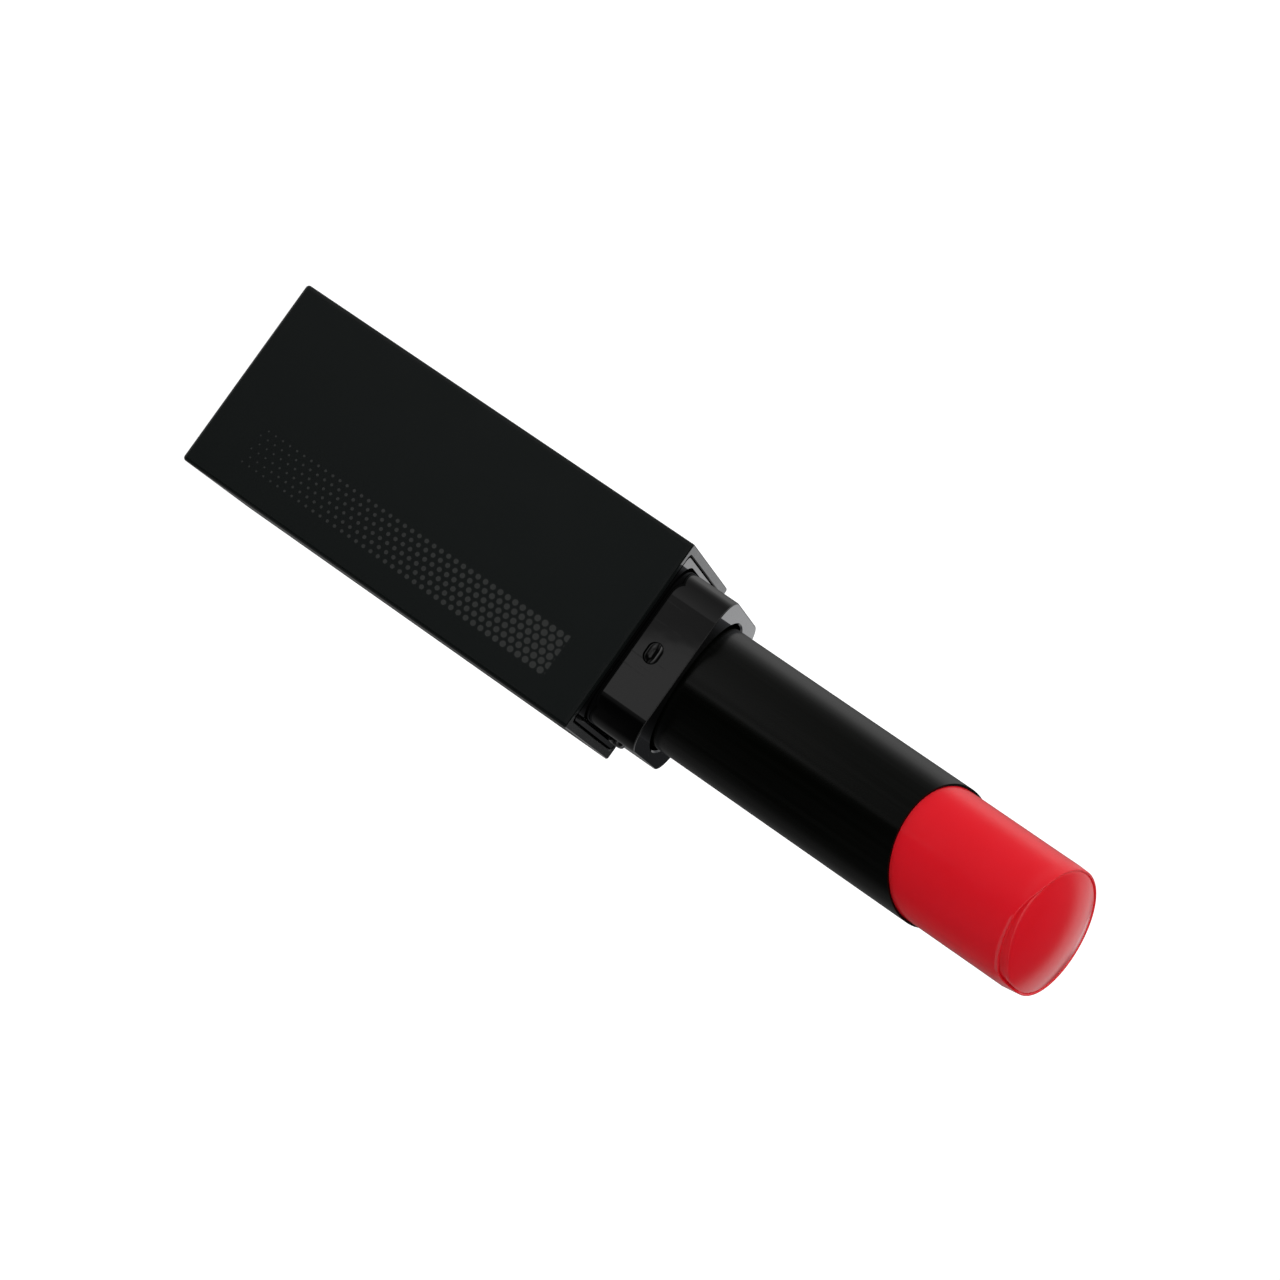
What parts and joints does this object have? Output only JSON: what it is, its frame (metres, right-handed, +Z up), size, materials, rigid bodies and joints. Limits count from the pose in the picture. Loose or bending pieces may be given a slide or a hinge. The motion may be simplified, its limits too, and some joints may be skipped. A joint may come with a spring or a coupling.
{
  "type": "lipstick case",
  "caption": "Twist-up lipstick case with a square matte base, a square snap neck and a round tube whose slanted mouth shows the raised lipstick.",
  "frame": {"origin": "middle of the base's bottom face", "axes": "+Z up the axis from the base to the lipstick's tip; the base's front face looks towards -Y"},
  "size_m": [0.02, 0.02, 0.0918],
  "materials": {
    "base_satin": "satin black",
    "label": "blank satin film",
    "weight_steel": "zinc-plated",
    "black_gloss": "polished black",
    "mechanism": "natural acetal",
    "friction_rubber": "grey silicone",
    "tube_black": "gloss black",
    "carrier_plastic": "satin black",
    "lipstick_wax": "satin red wax"
  },
  "bodies": {
    "base": {"base_shell": "base_satin", "shade_label": "label", "base_weight": "weight_steel", "base_insert": "black_gloss", "neck_collar": "black_gloss", "spiral_sleeve": "mechanism"},
    "tube": {"outer_tube": "tube_black", "slotted_guide": "mechanism", "friction_ring": "friction_rubber"},
    "carrier": {"carrier": "carrier_plastic", "lipstick": "lipstick_wax"}
  },
  "joints": [
    {"name": "twist", "type": "hinge", "parent": "base", "child": "tube", "pos_m": [0, 0, 0.0439], "axis": [0, 0, -1], "range_deg": [-270, 90]},
    {"name": "lift", "type": "slide", "parent": "tube", "child": "carrier", "axis": [0, 0, 1], "range_m": [-0.01501, 0.00501]}
  ],
  "couplings": [
    {"joint": "lift", "follows": "twist", "m_per_rad": 0.0031831}
  ]
}
